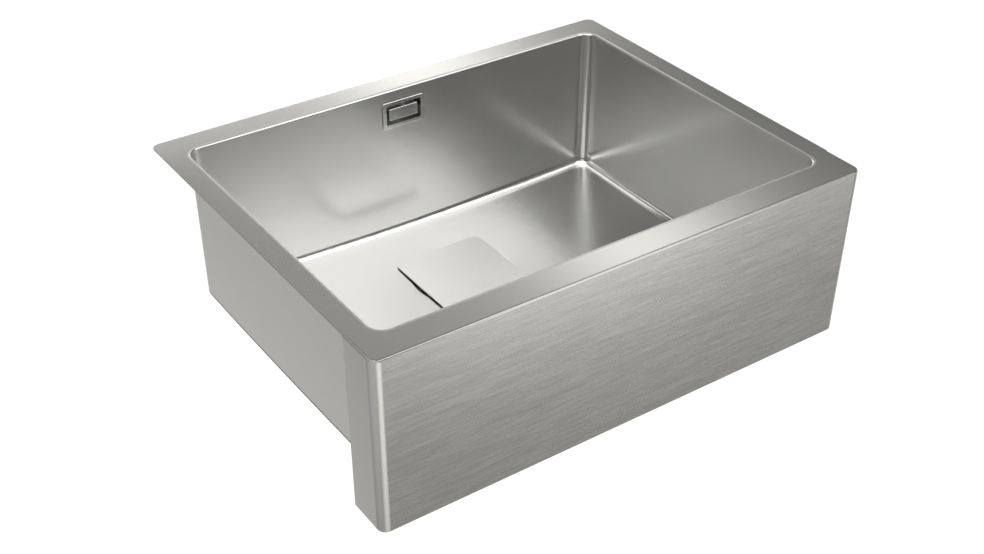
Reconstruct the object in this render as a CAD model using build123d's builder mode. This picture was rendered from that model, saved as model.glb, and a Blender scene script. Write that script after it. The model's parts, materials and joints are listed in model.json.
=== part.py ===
# Farmhouse apron front sink: a pressed bowl welded into a flat rim, with a folded apron in front,
# a strainer waste under a square cover, and an overflow piped from the rear wall to the waste.
#
# Millimetres. X runs across the sink, Y from the apron to the rear, Z up.
# The origin is on the underside of the rim, in the middle of the rear ledge.

from build123d import *
from math import sqrt
import os

os.makedirs("parts", exist_ok=True)

# Sheet steel
sheet = 1.0             # thickness of rim, bowl and apron
bend = 2.0              # outside radius of rolled and folded edges
edge_break = 0.3        # rounding of a bare sheet edge
air = 0.3               # gap between pieces that lift apart
slip = 0.4              # gap round a piece that passes through another
same = 0.001            # tolerance when an edge is picked by its radius

# Rim
rim_width = 600.0
rim_depth = 470.0
rim_corner = 10.0
side_ledge = 27.0
front_ledge = 37.5
rear_ledge = 32.5

# Bowl
bowl_depth = 194.5      # rim's top to the floor's apex over the waste
bowl_corner = 15.0
floor_radius = 8.0
floor_slope = 0.042      # rise of the floor per millimetre away from the waste
bowl_lip = 4.0          # rolled lip, from the inside wall to the seam with the rim
waste_from_rear = 124.5  # inside of the rear wall to the waste's axis
recess_depth = 3.5
recess_draft = 2.0
waste_hole_radius = 45.0

# Apron
apron_height = 206.0
apron_return = 51.0
apron_seam = 3.0        # rolled top edge, from the outside to the seam with the rim
apron_flange = 15.0     # inward fold along the bottom

# Braces between the apron and the bowl
brace_spacing = 320.0
brace_sheet = 1.5
brace_flange = 20.0
brace_height = 60.0
brace_drop = 60.0       # rim's underside to the top of a brace

# Sound pads under the floor
pad_thickness = 3.0
pad_depth = 220.0
pad_from_waste = 85.0   # waste's axis to the near edge of a pad
pad_from_wall = 58.0    # inside of the side wall to the far edge of a pad
pad_corner = 8.0

# Strainer cup and its seals
flange_radius = 53.0
flange_sheet = 1.2
flange_seal = 1.0
flange_clearance = 1.0
cup_clearance = 1.5     # waste hole to the cup
cup_depth = 34.0
cup_radius = 5.0        # rounding of the cup's floor
cup_mouth = 1.0         # rounding of the cup's mouth
drain_count = 6
drain_radius = 4.5
drain_ring_radius = 17.0
body_seal = 2.0

# Waste body
body_flange = 56.0
body_flange_height = 4.0
body_inside = 47.0
body_wall = 3.0
body_depth = 38.0       # top of the body to the start of its funnel
funnel_height = 12.0
outlet_radius = 23.9
outlet_bore = 20.5
outlet_length = 28.0
web_width = 11.0
web_height = 10.0
boss_radius = 9.0
insert_radius = 6.0
insert_height = 10.0
inlet_drop = 22.0       # top of the body to the axis of the overflow inlet

# Waste screw
screw_radius = 3.0
screw_head = 6.0
screw_head_height = 2.5
screw_end = 4.0         # how far the screw passes through its insert
thread_gap = 0.02

# Strainer basket
basket_radius = 37.0
basket_sheet = 0.8
basket_rim_drop = 3.0   # cup's flange to the basket's rim
basket_corner = 4.0
basket_seal_thickness = 3.0
basket_seal_outer = 26.0
basket_seal_inner = 9.0
hole_radius = 2.0
side_hole_count = 20
side_hole_rows = 3
side_hole_pitch = 6.5
floor_hole_count = 24
floor_hole_ring_radius = 30.0   # outside the seal
stem_radius = 3.0
knob_radius = 9.0
knob_height = 7.0
knob_below_cover = 9.0

# Square cover over the waste
cover_size = 118.0
cover_sheet = 1.2
cover_corner = 10.0
cover_above_floor = 3.0  # floor at the middle of the cover's edge to the cover's top
foot_radius = 3.5
foot_ring_radius = 48.0
foot_count = 4
ring_wall = 2.0
ring_above_basket = 0.6

# Overflow in the rear wall
overflow_drop = 31.0    # rim's top to the middle of the overflow
bezel_width = 57.0
bezel_height = 33.5
bezel_corner = 2.5
bezel_thickness = 1.2
bezel_edge = 0.5
mouth_width = 47.0
mouth_height = 24.5
mouth_corner = 1.5
neck_wall = 1.3
neck_length = 14.0      # behind the wall's inside
bar_height = 7.5
bar_thickness = 2.0
bar_depth = 8.0         # wall's inside to the front of the bar
plate_width = 39.0
plate_height = 14.5
plate_thickness = 1.8
plate_proud = 0.8
plate_corner = 1.0
tab_width = 5.0
tab_thickness = 1.0
post_radius = 2.5
post_spacing = 8.0
overflow_screw_spacing = 28.0
overflow_screw_radius = 2.0
overflow_screw_head = 3.5
overflow_screw_head_height = 2.2
overflow_screw_length = 14.0

# Housing behind the rear wall
gasket_thickness = 2.0
gasket_margin = 4.0     # wall's cut-out to the gasket's outside
elbow_depth = 28.0
elbow_wall = 2.5
elbow_corner = 3.0
elbow_inside_corner = 2.0
spigot_length = 22.0

# Overflow pipe and its couplings
pipe_radius = 10.0
pipe_wall = 1.5
pipe_bend = 30.0
pipe_insertion = 12.0
spigot_wall = 2.0
pipe_gap = 0.3
seal_height = 3.0
nut_radius = 15.0       # across the nut's corners, halved
nut_sides = 8
nut_height = 20.0
nut_lip = 2.5
nut_gap = 0.2
inlet_length = 24.0     # outside of the waste body to the inlet's mouth
pipe_from_wall = 16.05  # outside of the rear wall to the pipe's axis

# Places worked out from the sizes above
top = sheet
rim_rear = rear_ledge / 2
apron_front = rim_rear - rim_depth
apron_rear = apron_front + apron_return
wall_rear = -rear_ledge / 2
wall_front = apron_front + front_ledge
wall_side = rim_width / 2 - side_ledge
bowl_width = 2 * wall_side
bowl_length = wall_rear - wall_front
bowl_middle = (wall_rear + wall_front) / 2
apron_bottom = top - apron_height
floor_apex = top - bowl_depth
waste_y = wall_rear - waste_from_rear
recess_floor = floor_apex - recess_depth
recess_radius = flange_radius + flange_clearance
far = rim_width         # past every wall, measured from the waste

cup_outside = waste_hole_radius - cup_clearance
cup_inside = cup_outside - flange_sheet
flange_top = recess_floor + flange_seal + flange_sheet
cup_floor = flange_top - cup_depth
body_top = recess_floor - sheet - body_seal
body_outside = body_inside + body_wall
funnel_top = body_top - body_depth
outlet_top = funnel_top - funnel_height
outlet_end = outlet_top - outlet_length
web_top = funnel_top + web_height / 2
inlet_z = body_top - inlet_drop
inlet_mouth = waste_y + body_outside + inlet_length

basket_bottom = cup_floor + air + basket_seal_thickness
basket_rim = flange_top - basket_rim_drop
basket_rim_radius = cup_inside - slip

overflow_z = top - overflow_drop
neck_width = mouth_width + 2 * neck_wall
neck_height = mouth_height + 2 * neck_wall
cutout_width = neck_width + 2 * slip
cutout_height = neck_height + 2 * slip
gasket_width = cutout_width + 2 * gasket_margin
gasket_height = cutout_height + 2 * gasket_margin
elbow_front = wall_rear + sheet + gasket_thickness
elbow_rear = elbow_front + elbow_depth
elbow_bottom = overflow_z - gasket_height / 2
pipe_y = wall_rear + sheet + pipe_from_wall
spigot_bore = pipe_radius + pipe_gap
spigot_outside = spigot_bore + spigot_wall
spigot_end = elbow_bottom - spigot_length


def floor_at(distance):
    """Height of the floor's upper face at a distance from the waste's axis."""
    return floor_apex + floor_slope * distance


cover_top = floor_at(cover_size / 2) + cover_above_floor
cover_underside = cover_top - cover_sheet

# Planes and axes that several pieces share
waste_section = Plane(origin=(0, waste_y, 0), x_dir=(1, 0, 0), z_dir=(0, -1, 0))
waste_axis = Axis((0, waste_y, 0), (0, 0, 1))
overflow_face = Plane(origin=(0, wall_rear, overflow_z), x_dir=(1, 0, 0), z_dir=(0, -1, 0))


def waste_level(height):
    """Level plane centred on the waste's axis."""
    return Plane(origin=(0, waste_y, height))


def save(piece, name):
    """Labels a finished piece and writes its STEP file."""
    piece.part.label = name
    export_step(piece.part, f"parts/{name}.step")


# Bowl: the right half of a block shaped like its outside, hollowed to one sheet and mirrored
with BuildPart() as bowl:
    with BuildSketch(Plane.XY):
        with Locations((0, bowl_middle)):
            RectangleRounded(bowl_width + 2 * sheet, bowl_length + 2 * sheet, bowl_corner + sheet)
        split(bisect_by=Plane.YZ, keep=Keep.TOP)
    extrude(amount=-(bowl_depth + recess_depth))
    with BuildSketch(waste_section):
        with BuildLine():
            foot = recess_radius + sheet
            brim = foot + recess_draft
            Polyline(
                (0, recess_floor - sheet),
                (foot, recess_floor - sheet),
                (brim, floor_at(brim) - sheet),
                (far, floor_at(far) - sheet),
                (far, recess_floor - far),
                (0, recess_floor - far),
                close=True,
            )
        make_face()
    revolve(axis=waste_axis, mode=Mode.SUBTRACT)
    floor_face = bowl.faces().filter_by(GeomType.CONE).sort_by(SortBy.AREA)[-1]
    floor_edges = floor_face.outer_wire().edges().filter_by(lambda e: e.geom_type != GeomType.LINE)
    fillet(floor_edges, radius=floor_radius + sheet)
    middle_face = bowl.faces().filter_by(Axis.X).sort_by(Axis.X)[0]
    offset(amount=-sheet, openings=[bowl.faces().sort_by(Axis.Z)[-1], middle_face])
    mirror(about=Plane.YZ)
    # rolled lip, level with the rim
    with BuildSketch(Plane.XY):
        with Locations((0, bowl_middle)):
            RectangleRounded(bowl_width + 2 * bowl_lip, bowl_length + 2 * bowl_lip, bowl_corner + bowl_lip)
            RectangleRounded(bowl_width, bowl_length, bowl_corner, mode=Mode.SUBTRACT)
    extrude(amount=sheet)
    lip_top = bowl.faces().sort_by(Axis.Z)[-1]
    fillet(lip_top.inner_wires()[0].edges(), radius=bend)
    lip_under = bowl.faces().filter_by(Axis.Z).group_by(Axis.Z)[-2][0]
    fillet(lip_under.inner_wires()[0].edges(), radius=bend - sheet)
    # waste hole and the overflow's cut-out
    with BuildSketch(waste_level(recess_floor)):
        Circle(waste_hole_radius)
    extrude(amount=2 * sheet, both=True, mode=Mode.SUBTRACT)
    with BuildSketch(overflow_face):
        RectangleRounded(cutout_width, cutout_height, mouth_corner + neck_wall + slip)
    extrude(amount=2 * sheet, both=True, mode=Mode.SUBTRACT)
save(bowl, "bowl")

# Rim: flat frame between the bowl's lip, the apron's rolled top edge and the bare outer edges
with BuildPart() as rim:
    with BuildSketch(Plane.XY) as rim_outline:
        with Locations((0, (apron_rear + rim_rear) / 2)):
            Rectangle(rim_width, rim_rear - apron_rear)
        fillet(rim_outline.vertices().group_by(Axis.Y)[-1], radius=rim_corner)
        with Locations((0, (apron_front + apron_seam + apron_rear) / 2)):
            Rectangle(rim_width - 2 * apron_seam, apron_return - apron_seam)
        fillet(rim_outline.vertices().group_by(Axis.Y)[0], radius=rim_corner - apron_seam)
        with Locations((0, bowl_middle)):
            RectangleRounded(
                bowl_width + 2 * bowl_lip, bowl_length + 2 * bowl_lip, bowl_corner + bowl_lip,
                mode=Mode.SUBTRACT,
            )
    extrude(amount=sheet)
    upper_edges = rim.edges().group_by(Axis.Z)[-1]
    bare_edges = upper_edges.filter_by(lambda e: e.center().Y > apron_rear + edge_break)
    side_middle = wall_side + side_ledge / 2
    rear_middle = wall_rear + rear_ledge / 2
    bare_edges = bare_edges.filter_by(
        lambda e: abs(e.center().X) > side_middle or e.center().Y > rear_middle
    )
    fillet(bare_edges, radius=edge_break)
save(rim, "rim")

# Apron: a folded pan, open behind, with its top open for the rim and its bottom folded inwards
with BuildPart() as apron:
    with BuildSketch(Plane.XY.offset(apron_bottom)):
        with Locations((0, (apron_front + apron_rear) / 2)):
            Rectangle(rim_width, apron_return)
    extrude(amount=apron_height)
    fillet(apron.edges().filter_by(Axis.Z).group_by(Axis.Y)[0], radius=rim_corner)
    for level in (apron.faces().sort_by(Axis.Z)[-1], apron.faces().sort_by(Axis.Z)[0]):
        fold_edges = level.edges().sort_by(Axis.Y)[:-1]
        fillet(fold_edges, radius=bend)
    offset(amount=-sheet, openings=apron.faces().sort_by(Axis.Y)[-1])
    for height, inset in ((top, apron_seam), (apron_bottom, apron_flange)):
        with BuildSketch(Plane.XY.offset(height)) as window:
            window_front = apron_front + inset
            with Locations((0, (window_front + apron_rear) / 2)):
                Rectangle(rim_width - 2 * inset, apron_rear - window_front)
            if inset < rim_corner:
                fillet(window.vertices().group_by(Axis.Y)[0], radius=rim_corner - inset)
        extrude(amount=2 * sheet, both=True, mode=Mode.SUBTRACT)
save(apron, "apron")

# Braces: folded brackets from the back of the apron to the front of the bowl
brace_front = apron_front + sheet
brace_rear = wall_front - sheet
for side, name in ((-1, "apron_brace_left"), (1, "apron_brace_right")):
    with BuildPart() as brace:
        with BuildSketch(Plane.XY.offset(-brace_drop)):
            web_x = side * brace_spacing / 2
            with Locations((web_x, (brace_front + brace_rear) / 2)):
                Rectangle(brace_sheet, brace_rear - brace_front)
            with Locations((web_x + side * brace_flange / 2, brace_front + brace_sheet / 2)):
                Rectangle(brace_flange, brace_sheet)
            with Locations((web_x - side * brace_flange / 2, brace_rear - brace_sheet / 2)):
                Rectangle(brace_flange, brace_sheet)
        extrude(amount=-brace_height)
    save(brace, name)

# Sound pads: slabs that follow the underside of the floor
pad_width = wall_side - pad_from_wall - pad_from_waste
for side, name in ((-1, "sound_pad_left"), (1, "sound_pad_right")):
    with BuildPart() as pad:
        with BuildSketch(waste_section):
            with BuildLine():
                under = -sheet
                Polyline(
                    (pad_from_waste / 2, floor_at(pad_from_waste / 2) + under),
                    (far, floor_at(far) + under),
                    (far, floor_at(far) + under - pad_thickness),
                    (pad_from_waste / 2, floor_at(pad_from_waste / 2) + under - pad_thickness),
                    close=True,
                )
            make_face()
        revolve(axis=waste_axis)
        with BuildSketch(Plane.XY.offset(recess_floor - pad_thickness)):
            with Locations((side * (pad_from_waste + pad_width / 2), bowl_middle)):
                RectangleRounded(pad_width, pad_depth, pad_corner)
        extrude(amount=bowl_depth, mode=Mode.INTERSECT)
    save(pad, name)

# Seals above and below the bowl's sheet at the waste hole
with BuildPart() as flange_seal_top:
    with BuildSketch(waste_level(recess_floor)):
        Circle(flange_radius - flange_clearance)
        Circle(waste_hole_radius + flange_clearance, mode=Mode.SUBTRACT)
    extrude(amount=flange_seal)
save(flange_seal_top, "flange_seal_top")

with BuildPart() as flange_seal_bottom:
    with BuildSketch(waste_level(body_top)):
        Circle(body_flange - flange_clearance)
        Circle(waste_hole_radius + flange_clearance, mode=Mode.SUBTRACT)
    extrude(amount=body_seal)
save(flange_seal_bottom, "flange_seal_bottom")

# Strainer cup: flange in the recess, drain holes under the basket's seal
with BuildPart() as waste_flange:
    with BuildSketch(waste_section):
        with BuildLine():
            Polyline(
                (flange_radius, flange_top),
                (cup_inside, flange_top),
                (cup_inside, cup_floor),
                (0, cup_floor),
                (0, cup_floor - flange_sheet),
                (cup_outside, cup_floor - flange_sheet),
                (cup_outside, flange_top - flange_sheet),
                (flange_radius, flange_top - flange_sheet),
                close=True,
            )
        make_face()
    revolve(axis=waste_axis)
    circles = waste_flange.edges().filter_by(GeomType.CIRCLE)
    mouth = circles.filter_by(lambda e: abs(e.radius - cup_inside) < same).sort_by(Axis.Z)
    outer = circles.filter_by(lambda e: abs(e.radius - cup_outside) < same).sort_by(Axis.Z)
    fillet(mouth[-1], radius=cup_mouth)
    fillet(mouth[0], radius=cup_radius)
    fillet(outer[0], radius=cup_radius + flange_sheet)
    with Locations(waste_level(cup_floor)):
        Hole(screw_radius + thread_gap)
        with PolarLocations(drain_ring_radius, drain_count):
            Hole(drain_radius)
save(waste_flange, "waste_flange")

# Waste body: cup, funnel and outlet, a web with a boss for the screw, and the overflow's inlet
with BuildPart() as waste_body:
    with BuildSketch(waste_section):
        with BuildLine():
            Polyline(
                (0, body_top),
                (body_flange, body_top),
                (body_flange, body_top - body_flange_height),
                (body_outside, body_top - body_flange_height),
                (body_outside, funnel_top),
                (outlet_radius, outlet_top),
                (outlet_radius, outlet_end),
                (0, outlet_end),
                close=True,
            )
        make_face()
    revolve(axis=waste_axis)
    inlet_plane = Plane(origin=(0, waste_y, inlet_z), x_dir=(1, 0, 0), z_dir=(0, 1, 0))
    with BuildSketch(inlet_plane):
        Circle(spigot_outside)
    extrude(amount=inlet_mouth - waste_y)
    with BuildSketch(waste_section):
        with BuildLine():
            Polyline(
                (0, body_top),
                (body_inside, body_top),
                (body_inside, funnel_top),
                (outlet_bore, outlet_top),
                (outlet_bore, outlet_end),
                (0, outlet_end),
                close=True,
            )
        make_face()
    revolve(axis=waste_axis, mode=Mode.SUBTRACT)
    with BuildSketch(inlet_plane):
        Circle(spigot_bore)
    extrude(amount=inlet_mouth - waste_y, mode=Mode.SUBTRACT)
    with BuildSketch(waste_level(web_top)):
        Rectangle(2 * body_inside + body_wall, web_width)
        Circle(boss_radius)
    extrude(amount=-web_height)
    with BuildSketch(waste_level(web_top)):
        Circle(insert_radius)
    extrude(amount=-web_height, mode=Mode.SUBTRACT)
save(waste_body, "waste_body")

with BuildPart() as waste_insert:
    with BuildSketch(waste_level(web_top)):
        Circle(insert_radius)
        Circle(screw_radius + thread_gap, mode=Mode.SUBTRACT)
    extrude(amount=-insert_height)
save(waste_insert, "waste_insert")

with BuildPart() as waste_screw:
    with BuildSketch(waste_level(cup_floor)):
        Circle(screw_head)
    extrude(amount=screw_head_height)
    fillet(waste_screw.edges().sort_by(Axis.Z)[-1], radius=screw_head_height / 2)
    with BuildSketch(waste_level(cup_floor)):
        Circle(screw_radius)
    extrude(amount=-(cup_floor - web_top + insert_height + screw_end))
    with BuildSketch(waste_level(cup_floor + screw_head_height)):
        Rectangle(2 * screw_radius, screw_radius / 2)
    extrude(amount=-screw_head_height / 2, mode=Mode.SUBTRACT)
save(waste_screw, "waste_screw")

# Strainer basket: perforated cup with a rim that hangs inside the mouth of the strainer cup
with BuildPart() as strainer_basket:
    with BuildSketch(waste_section):
        with BuildLine():
            Polyline(
                (0, basket_bottom),
                (basket_radius, basket_bottom),
                (basket_radius, basket_rim - basket_sheet),
                (basket_rim_radius, basket_rim - basket_sheet),
                (basket_rim_radius, basket_rim),
                (basket_radius - basket_sheet, basket_rim),
                (basket_radius - basket_sheet, basket_bottom + basket_sheet),
                (0, basket_bottom + basket_sheet),
                close=True,
            )
        make_face()
    revolve(axis=waste_axis)
    circles = strainer_basket.edges().filter_by(GeomType.CIRCLE)
    outer = circles.filter_by(lambda e: abs(e.radius - basket_radius) < same).sort_by(Axis.Z)
    inner = circles.filter_by(lambda e: abs(e.radius - basket_radius + basket_sheet) < same).sort_by(Axis.Z)
    fillet(outer[0], radius=basket_corner + basket_sheet)
    fillet(inner[0], radius=basket_corner)
    with Locations(waste_level(basket_bottom)):
        with PolarLocations(floor_hole_ring_radius, floor_hole_count):
            Hole(hole_radius)
    for row in range(side_hole_rows):
        row_z = basket_rim - side_hole_pitch * (row + 1)
        turn = 180 / side_hole_count * row
        with Locations(waste_level(row_z)):
            with PolarLocations(basket_radius, side_hole_count, start_angle=turn):
                Cylinder(hole_radius, 4 * hole_radius, rotation=(0, 90, 0), mode=Mode.SUBTRACT)
save(strainer_basket, "strainer_basket")

with BuildPart() as basket_seal:
    with BuildSketch(waste_level(basket_bottom)):
        Circle(basket_seal_outer)
        Circle(basket_seal_inner, mode=Mode.SUBTRACT)
    extrude(amount=-basket_seal_thickness)
    seal_edge = basket_seal.edges().group_by(Axis.Z)[0].sort_by(SortBy.RADIUS)[-1]
    fillet(seal_edge, radius=basket_seal_thickness / 3)
save(basket_seal, "basket_seal")

with BuildPart() as basket_knob:
    knob_top = cover_underside - knob_below_cover
    with BuildSketch(waste_level(basket_bottom + basket_sheet)):
        Circle(stem_radius)
    extrude(amount=knob_top - basket_bottom - basket_sheet - knob_height / 2)
    with BuildSketch(waste_level(knob_top)):
        Circle(knob_radius)
    extrude(amount=-knob_height)
    between_radii = (stem_radius + knob_radius) / 2
    circles = basket_knob.edges().filter_by(GeomType.CIRCLE)
    head_edges = circles.filter_by(lambda e: e.radius > between_radii)
    fillet(head_edges, radius=knob_height / 3)
save(basket_knob, "basket_knob")

# Square cover, the ring that centres it in the cup's mouth, and the feet that carry it
with BuildPart() as waste_cover:
    with BuildSketch(waste_level(cover_underside)):
        RectangleRounded(cover_size, cover_size, cover_corner)
    extrude(amount=cover_sheet)
    fillet(waste_cover.edges().group_by(Axis.Z)[-1], radius=edge_break)
save(waste_cover, "waste_cover")

with BuildPart() as cover_ring:
    with BuildSketch(waste_level(cover_underside)):
        Circle(basket_rim_radius)
        Circle(basket_rim_radius - ring_wall, mode=Mode.SUBTRACT)
    extrude(amount=basket_rim + ring_above_basket - cover_underside)
save(cover_ring, "cover_ring")

with BuildPart() as cover_feet:
    with BuildSketch(waste_level(cover_underside)):
        with PolarLocations(foot_ring_radius, foot_count, start_angle=180 / foot_count):
            Circle(foot_radius)
    extrude(amount=flange_top + air - cover_underside)
    fillet(cover_feet.edges().group_by(Axis.Z)[0], radius=edge_break)
save(cover_feet, "cover_feet")

# Overflow bezel: flange on the wall, neck through it, and a bar across for the screws
with BuildPart() as overflow_frame:
    with BuildSketch(overflow_face):
        RectangleRounded(bezel_width, bezel_height, bezel_corner)
    extrude(amount=bezel_thickness)
    fillet(overflow_frame.faces().sort_by(Axis.Y)[0].edges(), radius=bezel_edge)
    with BuildSketch(overflow_face):
        RectangleRounded(neck_width, neck_height, mouth_corner + neck_wall)
    extrude(amount=-neck_length)
    with BuildSketch(overflow_face.offset(bezel_thickness)):
        RectangleRounded(mouth_width, mouth_height, mouth_corner)
    extrude(amount=-(bezel_thickness + neck_length), mode=Mode.SUBTRACT)
    with BuildSketch(overflow_face.offset(-bar_depth)):
        Rectangle(mouth_width + neck_wall, bar_height)
        with GridLocations(overflow_screw_spacing, 0, 2, 1):
            Circle(overflow_screw_radius + thread_gap, mode=Mode.SUBTRACT)
    extrude(amount=-bar_thickness)
save(overflow_frame, "overflow_frame")

# Centre plate of the overflow, on two posts, with a tab to the top of the bezel
with BuildPart() as overflow_plate:
    plate_back = plate_proud - plate_thickness
    with BuildSketch(overflow_face.offset(plate_proud)):
        RectangleRounded(plate_width, plate_height, plate_corner)
    extrude(amount=-plate_thickness)
    fillet(overflow_plate.faces().sort_by(Axis.Y)[0].edges(), radius=bezel_edge)
    with BuildSketch(overflow_face.offset(plate_back)):
        with GridLocations(post_spacing, 0, 2, 1):
            Circle(post_radius)
    extrude(amount=-(bar_depth + plate_back))
    with BuildSketch(overflow_face.offset(plate_back)):
        with Locations((0, mouth_height / 4)):
            Rectangle(tab_width, mouth_height / 2)
    extrude(amount=tab_thickness)
save(overflow_plate, "overflow_plate")

# Screws from the bar into the housing
with BuildPart() as overflow_screws:
    with BuildSketch(overflow_face.offset(-bar_depth)):
        with GridLocations(overflow_screw_spacing, 0, 2, 1):
            Circle(overflow_screw_head)
    extrude(amount=overflow_screw_head_height)
    with BuildSketch(overflow_face.offset(-bar_depth)):
        with GridLocations(overflow_screw_spacing, 0, 2, 1):
            Circle(overflow_screw_radius)
    extrude(amount=-overflow_screw_length)
save(overflow_screws, "overflow_screws")

gasket_plane = overflow_face.offset(-sheet)
with BuildPart() as overflow_gasket:
    with BuildSketch(gasket_plane):
        RectangleRounded(gasket_width, gasket_height, elbow_corner)
        RectangleRounded(cutout_width, cutout_height, mouth_corner + neck_wall + slip, mode=Mode.SUBTRACT)
    extrude(amount=-gasket_thickness)
save(overflow_gasket, "overflow_gasket")

# Overflow housing: box open towards the wall, bosses for the screws, spigot below
with BuildPart() as overflow_elbow:
    elbow_plane = gasket_plane.offset(-gasket_thickness)
    with BuildSketch(elbow_plane):
        RectangleRounded(gasket_width, gasket_height, elbow_corner)
    extrude(amount=-elbow_depth)
    spigot_plane = Plane(origin=(0, pipe_y, overflow_z))
    with BuildSketch(spigot_plane):
        Circle(spigot_outside)
    extrude(amount=spigot_end - overflow_z)
    with BuildSketch(elbow_plane):
        RectangleRounded(gasket_width - 2 * elbow_wall, gasket_height - 2 * elbow_wall, elbow_inside_corner)
    extrude(amount=-(elbow_depth - elbow_wall), mode=Mode.SUBTRACT)
    with BuildSketch(spigot_plane):
        Circle(spigot_bore)
    extrude(amount=spigot_end - overflow_z, mode=Mode.SUBTRACT)
    boss_front = overflow_face.offset(-(bar_depth + bar_thickness))
    boss_length = elbow_rear - wall_rear - bar_depth - bar_thickness - elbow_wall / 2
    with BuildSketch(boss_front):
        with GridLocations(overflow_screw_spacing, 0, 2, 1):
            Circle(overflow_screw_head)
    extrude(amount=-boss_length)
    with BuildSketch(boss_front):
        with GridLocations(overflow_screw_spacing, 0, 2, 1):
            Circle(overflow_screw_radius + thread_gap)
    extrude(amount=-(overflow_screw_length - bar_thickness + air), mode=Mode.SUBTRACT)
save(overflow_elbow, "overflow_elbow")

# Rigid pipe from the housing's spigot down behind the bowl and forward to the waste body's inlet
with BuildPart() as overflow_pipe:
    pipe_start = (0, pipe_y, spigot_end + pipe_insertion)
    pipe_corner = (0, pipe_y, inlet_z)
    pipe_end = (0, inlet_mouth - pipe_insertion, inlet_z)
    with BuildLine() as pipe_route:
        FilletPolyline(pipe_start, pipe_corner, pipe_end, radius=pipe_bend)
    with BuildSketch(Plane(origin=pipe_start, z_dir=(0, 0, -1))):
        Circle(pipe_radius)
        Circle(pipe_radius - pipe_wall, mode=Mode.SUBTRACT)
    sweep(path=pipe_route.line)
save(overflow_pipe, "overflow_pipe")

# Couplings at both ends of the pipe: each plane looks out of a spigot's mouth
coupling_planes = (
    Plane(origin=(0, pipe_y, spigot_end), x_dir=(1, 0, 0), z_dir=(0, 0, -1)),
    Plane(origin=(0, inlet_mouth, inlet_z), x_dir=(1, 0, 0), z_dir=(0, 1, 0)),
)
nut_bore = spigot_outside + nut_gap
with BuildPart() as overflow_seals:
    for mouth_plane in coupling_planes:
        with BuildSketch(mouth_plane):
            Circle(spigot_outside)
            Circle(pipe_radius, mode=Mode.SUBTRACT)
        extrude(amount=seal_height)
save(overflow_seals, "overflow_seals")

with BuildPart() as overflow_nuts:
    for mouth_plane in coupling_planes:
        nut_end = seal_height + nut_lip
        with BuildSketch(mouth_plane.offset(nut_end)):
            RegularPolygon(nut_radius, nut_sides)
        extrude(amount=-nut_height)
        with BuildSketch(mouth_plane.offset(seal_height)):
            Circle(nut_bore)
        extrude(amount=-nut_height, mode=Mode.SUBTRACT)
        with BuildSketch(mouth_plane.offset(nut_end)):
            Circle(spigot_bore)
        extrude(amount=-nut_height, mode=Mode.SUBTRACT)
save(overflow_nuts, "overflow_nuts")
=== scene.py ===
import json
from math import pi, radians, sin

import bpy
from mathutils import Matrix, Quaternion, Vector

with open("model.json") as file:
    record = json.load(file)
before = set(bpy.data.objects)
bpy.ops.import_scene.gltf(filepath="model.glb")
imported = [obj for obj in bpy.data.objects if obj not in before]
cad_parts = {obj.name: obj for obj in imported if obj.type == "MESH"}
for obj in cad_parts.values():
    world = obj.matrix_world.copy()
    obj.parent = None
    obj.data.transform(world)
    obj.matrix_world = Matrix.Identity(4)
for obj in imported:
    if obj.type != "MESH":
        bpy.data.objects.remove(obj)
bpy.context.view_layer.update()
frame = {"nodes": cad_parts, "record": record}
nodes = frame["nodes"]
print("frame loaded:", len(nodes), "nodes")


# camera: at the photograph's place, looking down over the left front corner
cameraSet = {
    "place": (-0.76209, -1.30571, 0.73860),
    "heading": 34.618,     # degrees from the rear towards the right
    "tilt": 37.083,        # degrees below the horizon
    "roll": 0.2,
    "lens": 51.46,
    "shiftY": 0.0803,
}


def makeCamera(look):
    data = bpy.data.cameras.new("camera")
    data.lens = look["lens"]
    data.shift_y = look["shiftY"]
    camera = bpy.data.objects.new("camera", data)
    bpy.context.scene.collection.objects.link(camera)
    turn = Matrix.Rotation(radians(-look["heading"]), 4, "Z")
    turn @= Matrix.Rotation(radians(90 - look["tilt"]), 4, "X")
    turn @= Matrix.Rotation(radians(look["roll"]), 4, "Z")
    camera.matrix_world = Matrix.Translation(look["place"]) @ turn
    bpy.context.scene.camera = camera


makeCamera(cameraSet)
print("camera set")


# small helpers for the node trees; owner is a material or the world
def addNode(owner, kind, **settings):
    node = owner.node_tree.nodes.new(kind)
    for key, value in settings.items():
        setattr(node, key, value)
    return node


def join(owner, source, target):
    owner.node_tree.links.new(source, target)


# into an input goes another node's output or a plain value
def feed(owner, value, target):
    if isinstance(value, bpy.types.NodeSocket):
        join(owner, value, target)
    else:
        target.default_value = value


def calculate(owner, operation, first, second=0.0):
    node = addNode(owner, "ShaderNodeMath", operation=operation)
    feed(owner, first, node.inputs[0])
    feed(owner, second, node.inputs[1])
    return node.outputs["Value"]


def vectorMath(owner, operation, first, second):
    node = addNode(owner, "ShaderNodeVectorMath", operation=operation)
    feed(owner, first, node.inputs[0])
    feed(owner, second, node.inputs[1])
    givesNumber = operation in ("DOT_PRODUCT", "DISTANCE")
    return node.outputs["Value" if givesNumber else "Vector"]


def splitAxes(owner, vector):
    split = addNode(owner, "ShaderNodeSeparateXYZ")
    join(owner, vector, split.inputs["Vector"])
    return [split.outputs[axis] for axis in "XYZ"]


# first where the share is 0, second where it is 1
def blend(owner, share, first, second):
    mix = addNode(owner, "ShaderNodeMix", data_type="FLOAT")
    feed(owner, share, mix.inputs["Factor"])
    feed(owner, first, mix.inputs["A"])
    feed(owner, second, mix.inputs["B"])
    return mix.outputs["Result"]


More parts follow.
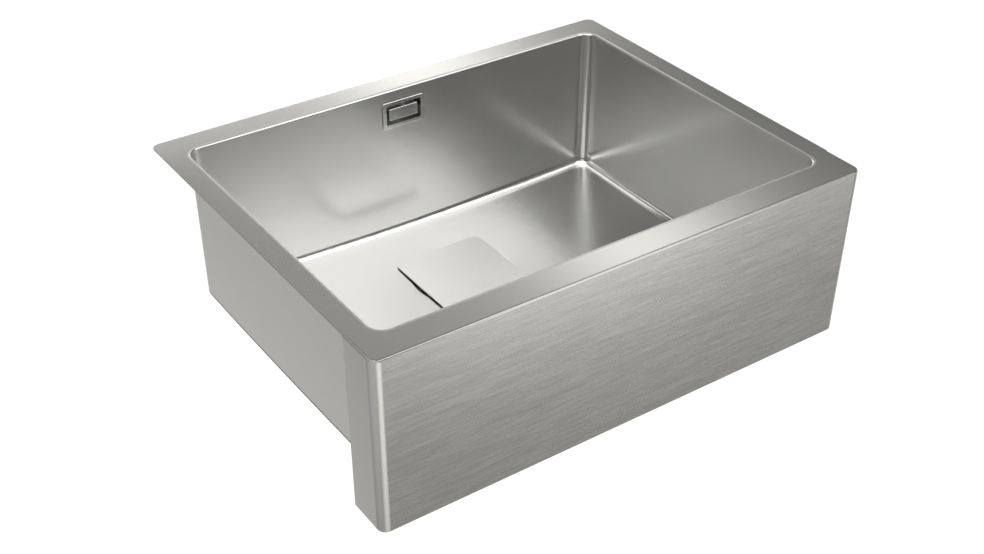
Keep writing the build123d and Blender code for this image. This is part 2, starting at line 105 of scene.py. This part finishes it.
# a value's range laid over another one; noise keeps mostly between 0.3 and 0.7
def spread(owner, value, low, high, fromLow=0.3, fromHigh=0.7, interpolation="LINEAR"):
    ranged = addNode(owner, "ShaderNodeMapRange", interpolation_type=interpolation)
    ranged.inputs["From Min"].default_value = fromLow
    ranged.inputs["From Max"].default_value = fromHigh
    ranged.inputs["To Min"].default_value = low
    ranged.inputs["To Max"].default_value = high
    join(owner, value, ranged.inputs["Value"])
    return ranged.outputs["Result"]


# 1 for the kinds of ray that are named, 0 for the rest
def raysOf(owner, *kinds):
    rays = addNode(owner, "ShaderNodeLightPath")
    value = rays.outputs[kinds[0]]
    for kind in kinds[1:]:
        value = calculate(owner, "MAXIMUM", value, rays.outputs[kind])
    return value


# helpers for the materials alone
def newMaterial(name):
    material = bpy.data.materials.new(name)
    material.use_nodes = True
    material.node_tree.nodes.clear()
    return material


def show(material, surface):
    output = addNode(material, "ShaderNodeOutputMaterial")
    join(material, surface, output.inputs["Surface"])


# where the mask is 1 the second shader shows
def mixShaders(material, mask, first, second):
    mix = addNode(material, "ShaderNodeMixShader")
    join(material, mask, mix.inputs["Fac"])
    join(material, first, mix.inputs[1])
    join(material, second, mix.inputs[2])
    return mix.outputs["Shader"]


def diffuseShader(material, colour):
    shader = addNode(material, "ShaderNodeBsdfDiffuse")
    shader.inputs["Color"].default_value = (*colour, 1)
    return shader


def principledShader(material, look):
    shader = addNode(material, "ShaderNodeBsdfPrincipled")
    shader.inputs["Metallic"].default_value = look.get("metallic", 0.0)
    shader.inputs["Anisotropic"].default_value = look.get("anisotropy", 0.0)
    return shader


def objectPlace(material):
    return addNode(material, "ShaderNodeTexCoord").outputs["Object"]


def faceNormal(material):
    return addNode(material, "ShaderNodeNewGeometry").outputs["Normal"]


# noise whose cells are (x, y, z) metres long, so that a grain can be drawn out along one axis
def grain(material, cell, detail=2.0, seed=0.0, roughness=0.6):
    mapping = addNode(material, "ShaderNodeMapping")
    mapping.inputs["Scale"].default_value = [1 / length for length in cell]
    mapping.inputs["Location"].default_value = (seed, seed, seed)
    noise = addNode(material, "ShaderNodeTexNoise")
    noise.inputs["Scale"].default_value = 1.0
    noise.inputs["Detail"].default_value = detail
    noise.inputs["Roughness"].default_value = roughness
    join(material, objectPlace(material), mapping.inputs["Vector"])
    join(material, mapping.outputs["Vector"], noise.inputs["Vector"])
    return noise.outputs["Fac"]


# tone and shine both vary a little with a 0 to 1 value
def vary(material, shader, look, toneValue, shineValue):
    uneven = look["uneven"]
    scaled = addNode(material, "ShaderNodeVectorMath", operation="SCALE")
    scaled.inputs["Vector"].default_value = look["colour"]
    join(material, spread(material, toneValue, 1 - uneven, 1 + uneven), scaled.inputs["Scale"])
    join(material, scaled.outputs["Vector"], shader.inputs["Base Color"])
    duller = look["roughness"] + look["unevenShine"]
    shinier = look["roughness"] - look["unevenShine"]
    join(material, spread(material, shineValue, shinier, duller), shader.inputs["Roughness"])


# another roughness where the mask is 1
def changeRoughness(material, shader, mask, roughness):
    held = shader.inputs["Roughness"].links[0].from_socket
    join(material, blend(material, mask, held, roughness), shader.inputs["Roughness"])


# 0 on the flat faces, up to 1 where a fold or a fillet turns between two of them;
# flat and turned are squares of the normal's largest part
def turnOfFace(material, flat, turned):
    parts = splitAxes(material, faceNormal(material))
    squares = [calculate(material, "MULTIPLY", part, part) for part in parts]
    largest = calculate(material, "MAXIMUM", squares[0], squares[1])
    largest = calculate(material, "MAXIMUM", largest, squares[2])
    return spread(material, largest, 0.0, 1.0, flat, turned)


# satin metal: fine lines over a slow cloud
def satinShader(material, look):
    shader = principledShader(material, look)
    lineSeed, cloudSeed = look.get("seeds", (0.0, 3.0))
    lines = grain(material, look["longGrain"], seed=lineSeed)
    cloud = grain(material, look["cloud"], seed=cloudSeed)
    both = blend(material, 0.5, lines, cloud)
    vary(material, shader, look, both, both)
    return shader


def makeSatinSteel(name, look):
    material = newMaterial(name)
    show(material, satinShader(material, look).outputs["BSDF"])
    return material


# in all the looks, grains, strokes and clouds are the sizes of a noise's cells in metres, uneven is
# the share by which the tone varies, and unevenShine is how far the roughness varies

# the bowl's inside and the cover: fine satin, its grain hardly seen
satinSteel = {
    "colour": (0.63, 0.627, 0.614),
    "metallic": 1.0,
    "roughness": 0.22,
    "longGrain": (0.03, 0.004, 0.03),
    "cloud": (0.09, 0.09, 0.09),
    "uneven": 0.008,
    "unevenShine": 0.008,
    "fillets": (0.99, 0.95),     # see turnOfFace
    "filletRoughness": 0.20,
}

# the bowl's outside: its dull mill finish, darker than the inside, with painted shade along the fold round
# its foot
bowlOutside = {
    "colour": (0.42, 0.413, 0.391),
    "metallic": 1.0,
    "roughness": 0.34,
    "longGrain": (0.02, 0.02, 0.0012),
    "cloud": (0.12, 0.12, 0.12),
    "seeds": (7.0, 8.0),
    "uneven": 0.04,
    "unevenShine": 0.03,
    "middle": (0.0, -0.2165, -0.08),     # a face that looks away from here is an outside one
    "folds": (0.999, 0.985),
    "foldDips": (-0.02, -0.12),          # how far its normal points down, for none and all of the painted shade
    "paintedFoldShade": (0.13, 0.128, 0.121),
}


def makeBowlSteel(name, inside, outside):
    material = newMaterial(name)
    inner = satinShader(material, inside)
    changeRoughness(material, inner, turnOfFace(material, *inside["fillets"]), inside["filletRoughness"])
    outer = satinShader(material, outside)
    # painted shade: a dark diffuse colour mixed in where the outside's folds turn and point down
    paintedShade = diffuseShader(material, outside["paintedFoldShade"])
    normal = faceNormal(material)
    dips = spread(material, splitAxes(material, normal)[2], 0.0, 1.0, *outside["foldDips"])
    folds = calculate(material, "MULTIPLY", turnOfFace(material, *outside["folds"]), dips)
    millFinishWithPaintedShade = mixShaders(material, folds, outer.outputs["BSDF"], paintedShade.outputs["BSDF"])
    fromMiddle = vectorMath(material, "SUBTRACT", objectPlace(material), outside["middle"])
    away = vectorMath(material, "DOT_PRODUCT", fromMiddle, normal)
    isOutside = calculate(material, "GREATER_THAN", away, 0.0)
    show(material, mixShaders(material, isOutside, inner.outputs["BSDF"], millFinishWithPaintedShade))
    return material


# the rim: the same satin, painted a little darker than the bowl's inside as painted shade
rimSteel = {
    "colour": (0.370, 0.3645, 0.345),
    "metallic": 1.0,
    "roughness": 0.22,
    "longGrain": (0.05, 0.003, 0.03),
    "cloud": (0.09, 0.09, 0.09),
    "uneven": 0.006,
    "unevenShine": 0.004,
}

# the apron's returns and its rolled edges: the rim's steel painted darker still, as painted shade
foldedSteel = dict(rimSteel, colour=(0.318, 0.313, 0.297))

# the apron's front: long brush strokes that run level, on a tone painted darker than the rim's as painted
# shade
apronSteel = {
    "colour": (0.280, 0.2755, 0.2605),
    "metallic": 1.0,
    "roughness": 0.27,
    "uneven": 0.10,
    "unevenShine": 0.02,
    "anisotropy": 0.2,
    "anisotropyTurn": 0.25,     # spread across the strokes
    "strokes": (0.036, 0.036, 0.0024),
    "fineStrokes": (0.022, 0.022, 0.0013),
    "fineShare": 0.4,
    "strokeDetail": 0.5,
    "bands": (0.16, 0.16, 0.012),
    "bandShare": 0.3,
    "frontBelow": -0.99,        # the y of a front face's normal
    "sideFrom": 0.15,           # the x, without its sign, of a side edge's normal
    "upperFrom": 0.05,          # the z of an upper edge's normal
    "sideEdgeRoughness": 0.65,
    "corners": (0.999, 0.97),
    "cornerRoughness": 0.33,
}


def makeApronSteel(name, look, folded):
    material = newMaterial(name)
    plain = satinShader(material, folded)
    front = principledShader(material, look)
    front.inputs["Anisotropic Rotation"].default_value = look["anisotropyTurn"]
    level = addNode(material, "ShaderNodeTangent", direction_type="RADIAL", axis="Z")
    join(material, level.outputs["Tangent"], front.inputs["Tangent"])
    strokes = grain(material, look["strokes"], look["strokeDetail"])
    fine = grain(material, look["fineStrokes"], look["strokeDetail"], seed=5.0)
    bands = grain(material, look["bands"], seed=9.0)
    brushed = blend(material, look["fineShare"], strokes, fine)
    brushed = blend(material, look["bandShare"], brushed, bands)
    vary(material, front, look, brushed, brushed)
    normalX, normalY, normalZ = splitAxes(material, faceNormal(material))
    # the rolled side edges are duller, so that they don't part the rim from the returns
    sideways = calculate(material, "ABSOLUTE", normalX)
    isSide = calculate(material, "GREATER_THAN", sideways, look["sideFrom"])
    isUpper = calculate(material, "GREATER_THAN", normalZ, look["upperFrom"])
    sideEdge = calculate(material, "MULTIPLY", isSide, isUpper)
    changeRoughness(material, plain, sideEdge, look["sideEdgeRoughness"])
    # and so are the upright corners, which spread their highlight
    isLower = calculate(material, "LESS_THAN", normalZ, look["upperFrom"])
    corner = calculate(material, "MULTIPLY", turnOfFace(material, *look["corners"]), isLower)
    changeRoughness(material, plain, corner, look["cornerRoughness"])
    isFront = calculate(material, "LESS_THAN", normalY, look["frontBelow"])
    show(material, mixShaders(material, isFront, plain.outputs["BSDF"], front.outputs["BSDF"]))
    return material


# the strainer cup, the basket, the braces and the screws
pressedSteel = {
    "colour": (0.62, 0.62, 0.61),
    "metallic": 1.0,
    "roughness": 0.24,
    "longGrain": (0.004, 0.004, 0.0008),
    "cloud": (0.02, 0.02, 0.02),
    "uneven": 0.025,
    "unevenShine": 0.02,
}

turnedBrass = {
    "colour": (0.76, 0.57, 0.28),
    "metallic": 1.0,
    "roughness": 0.26,
    "longGrain": (0.003, 0.003, 0.0004),
    "cloud": (0.01, 0.01, 0.01),
    "uneven": 0.025,
    "unevenShine": 0.02,
}

# the overflow's bezel and plate, with painted shade in the narrow gaps between them
polishedMetal = {
    "colour": (0.80, 0.80, 0.79),
    "metallic": 1.0,
    "roughness": 0.10,
    "longGrain": (0.006, 0.0008, 0.0008),
    "cloud": (0.01, 0.01, 0.01),
    "uneven": 0.025,
    "unevenShine": 0.02,
    "gapReach": 0.008,          # metres
    "gapSamples": 8,
    "gapOpen": (0.45, 0.85),    # share of open sky, for all and none of the painted shade
    "paintedGapShade": (0.012, 0.012, 0.012),
}


def makePolishedMetal(name, look):
    material = newMaterial(name)
    shader = satinShader(material, look)
    # painted shade: a near black diffuse mixed in where ambient occlusion finds the gaps closed
    paintedShade = diffuseShader(material, look["paintedGapShade"])
    nearby = addNode(material, "ShaderNodeAmbientOcclusion", samples=look["gapSamples"])
    nearby.inputs["Distance"].default_value = look["gapReach"]
    shadedGaps = spread(material, nearby.outputs["AO"], 1.0, 0.0, *look["gapOpen"])
    show(material, mixShaders(material, shadedGaps, shader.outputs["BSDF"], paintedShade.outputs["BSDF"]))
    return material


# moulded and rubber pieces: a fine skin in the bump and a slow change of tone
mouldedSkin = {
    "detail": 4.0,
    "cloud": (0.03, 0.03, 0.03),
    "uneven": 0.04,
    "unevenShine": 0.05,
}
mouldedLooks = {
    "white_plastic": {"colour": (0.80, 0.80, 0.78), "roughness": 0.38, "skin": 0.0009, "height": 0.00001},
    "grey_plastic": {"colour": (0.33, 0.34, 0.35), "roughness": 0.42, "skin": 0.0009, "height": 0.00001},
    "black_rubber": {"colour": (0.030, 0.030, 0.032), "roughness": 0.60, "skin": 0.0006, "height": 0.00002},
    "grey_pad": {"colour": (0.16, 0.16, 0.165), "roughness": 0.85, "skin": 0.0022, "height": 0.00025},
}


def makeMoulded(name, look):
    material = newMaterial(name)
    shader = principledShader(material, look)
    skin = grain(material, (look["skin"],) * 3, look["detail"])
    cloud = grain(material, look["cloud"], seed=2.0)
    vary(material, shader, look, cloud, blend(material, 0.5, skin, cloud))
    bump = addNode(material, "ShaderNodeBump")
    bump.inputs["Distance"].default_value = look["height"]
    join(material, skin, bump.inputs["Height"])
    join(material, bump.outputs["Normal"], shader.inputs["Normal"])
    show(material, shader.outputs["BSDF"])
    return material


materials = {
    "satin_steel": makeSatinSteel("satinSteel", satinSteel),
    "brushed_steel": makeApronSteel("apronSteel", apronSteel, foldedSteel),
    "pressed_steel": makeSatinSteel("pressedSteel", pressedSteel),
    "chrome": makePolishedMetal("polishedMetal", polishedMetal),
    "brass": makeSatinSteel("turnedBrass", turnedBrass),
}
for slotName, look in mouldedLooks.items():
    materials[slotName] = makeMoulded(slotName, {**mouldedSkin, **look})

for subpart in frame["record"]["subparts"]:
    piece = nodes[subpart["node"]]
    piece.data.materials.clear()
    piece.data.materials.append(materials[subpart["material_slot"]])
nodes["rim"].data.materials[0] = makeSatinSteel("rimSteel", rimSteel)
nodes["bowl"].data.materials[0] = makeBowlSteel("bowlSteel", satinSteel, bowlOutside)
print("materials on", len(nodes), "nodes")


# floor: pale, at the height of a room's floor under a worktop; a brighter pool of light is painted into
# what the metal sees of it
floorLook = {
    "level": -0.9,
    "half": 9.0,
    "paintedPoolPlace": (0.92, 1.12),
    "paintedPoolInner": 1.66,
    "paintedPoolOuter": 2.10,
    "pale": 1.06,
    "far": 0.60,
    "toCamera": 1.13,     # white all over, so that the painted pool has no edge in the picture
    "ownShade": 0.12,     # how much of the floor is plain paint that takes the shadow
    "paint": (0.8, 0.8, 0.8),
}


def makeFloor(look):
    half = look["half"]
    level = look["level"]
    mesh = bpy.data.meshes.new("floor")
    corners = [(-half, -half, level), (half, -half, level), (half, half, level), (-half, half, level)]
    mesh.from_pydata(corners, [], [(0, 1, 2, 3)])
    floor = bpy.data.objects.new("floor", mesh)
    bpy.context.scene.collection.objects.link(floor)
    paint = newMaterial("paleFloor")
    # painted pool of light: the floor's glow, as the metal sees it, is brighter near this place
    away = vectorMath(paint, "DISTANCE", objectPlace(paint), (*look["paintedPoolPlace"], level))
    paintedPool = spread(
        paint, away, look["pale"], look["far"], look["paintedPoolInner"], look["paintedPoolOuter"], "SMOOTHSTEP"
    )
    glow = addNode(paint, "ShaderNodeEmission")
    toEye = raysOf(paint, "Is Camera Ray", "Is Transmission Ray")
    join(paint, blend(paint, toEye, paintedPool, look["toCamera"]), glow.inputs["Strength"])
    diffuse = diffuseShader(paint, look["paint"])
    seen = raysOf(paint, "Is Camera Ray", "Is Glossy Ray", "Is Transmission Ray")
    glowing = calculate(paint, "MULTIPLY", seen, 1 - look["ownShade"])
    show(paint, mixShaders(paint, glowing, diffuse.outputs["BSDF"], glow.outputs["Emission"]))
    mesh.materials.append(paint)


makeFloor(floorLook)

# room: to the metal pale grey near the horizon and darker overhead, to the camera white
roomLook = {
    "grey": 0.64,
    "dark": 0.145,
    "paleUpTo": 5,       # degrees above the horizon
    "darkFrom": 10,
    "toCamera": 1.0,     # what the camera sees past the floor
}


def makeRoom(look):
    room = bpy.data.worlds.new("room")
    bpy.context.scene.world = room
    room.use_nodes = True
    room.node_tree.nodes.clear()
    place = addNode(room, "ShaderNodeTexCoord")
    height = splitAxes(room, place.outputs["Generated"])[2]
    start = sin(radians(look["paleUpTo"]))
    end = sin(radians(look["darkFrom"]))
    fade = spread(room, height, look["grey"], look["dark"], start, end, "SMOOTHSTEP")
    toEye = raysOf(room, "Is Camera Ray", "Is Transmission Ray")
    background = addNode(room, "ShaderNodeBackground")
    background.inputs["Color"].default_value = (1, 1, 1, 1)
    join(room, blend(room, toEye, fade, look["toCamera"]), background.inputs["Strength"])
    output = addNode(room, "ShaderNodeOutputWorld")
    join(room, background.outputs["Background"], output.inputs["Surface"])


makeRoom(roomLook)

# softboxes: where the middle of each sheet is, what it faces, its width and height, and how bright
# it is; lean turns it about its own middle, in degrees, with the right end seen from the sink going up
sinkMiddle = (0.0, -0.22, -0.10)
leftCorner = (-0.3, -0.45, -0.1)
softboxes = {
    # the pale band down the apron's front, and what is below it
    "frontBand": {
        "place": (0.70, -1.50, 0.30), "facing": (0.70, 0.0, 0.30),
        "size": (0.7, 2.4), "bright": 2.05,
    },
    "lowFront": {
        "place": (0.85, -1.50, -0.57), "facing": (0.85, 0.0, -0.57),
        "size": (3.5, 0.64), "bright": 1.35,
    },
    # the bright line along the apron's rolled upper edge
    "edgeStrip": {
        "place": (1.60, -1.45, 1.16), "facing": (0.2, -0.45, 0.0),
        "size": (0.5, 1.0), "bright": 2.2,
    },
    # the apron's left corner
    "cornerSheet": {
        "place": (-0.40, -1.15, -0.62), "facing": leftCorner,
        "size": (0.6, 0.5), "bright": 1.30,
    },
    "cornerLeft": {
        "place": (-1.15, -0.55, -0.62), "facing": leftCorner,
        "size": (1.5, 0.5), "bright": 0.55,
    },
    # the rest of the studio
    "rearLeft": {
        "place": (-1.84, 1.75, 1.22), "facing": sinkMiddle,
        "size": (1.6, 0.7), "bright": 0.75,
    },
    "horizonRight": {
        "place": (2.28, 1.69, 0.32), "facing": sinkMiddle,
        "size": (1.5, 0.6), "bright": 1.6,
    },
    "leftFront": {
        "place": (-2.44, -1.94, 0.21), "facing": sinkMiddle,
        "size": (2.0, 2.5), "bright": 2.30,
    },
    "topSheet": {
        "place": (0.34, -1.53, 2.58), "facing": sinkMiddle,
        "size": (3.6, 2.3), "bright": 2.05,
    },
    "highLeft": {
        "place": (-1.37, -0.26, 2.57), "facing": sinkMiddle,
        "size": (2.2, 3.0), "bright": 2.75,
    },
    "highRight": {
        "place": (1.53, 1.35, 1.95), "facing": sinkMiddle,
        "size": (2.8, 1.3), "bright": 0.51,
    },
    # the sheen across the rim and the bowl's floor
    "rearStrip": {
        "place": (1.45, 1.99, 1.32), "facing": sinkMiddle,
        "size": (2.4, 0.32), "lean": 39, "bright": 2.85,
    },
    "lowStrip": {
        "place": (0.90, 2.43, 0.99), "facing": sinkMiddle,
        "size": (0.42, 3.0), "lean": 74, "bright": 2.73,
    },
}


def makeSoftbox(name, look):
    data = bpy.data.lights.new(name, "AREA")
    data.shape = "RECTANGLE"
    width, height = look["size"]
    data.size = width
    data.size_y = height
    data.energy = look["bright"] * pi * width * height     # watts = radiance x pi x area
    lamp = bpy.data.objects.new(name, data)
    bpy.context.scene.collection.objects.link(lamp)
    lamp.location = look["place"]
    away = Vector(look["place"]) - Vector(look["facing"])
    lean = Quaternion((0, 0, 1), radians(-look.get("lean", 0)))
    lamp.rotation_euler = (away.to_track_quat("Z", "Y") @ lean).to_euler()
    lamp.visible_camera = False


for lampName, look in softboxes.items():
    makeSoftbox(lampName, look)
bpy.context.scene.view_settings.view_transform = "Standard"
print("floor, room and", len(softboxes), "softboxes made")
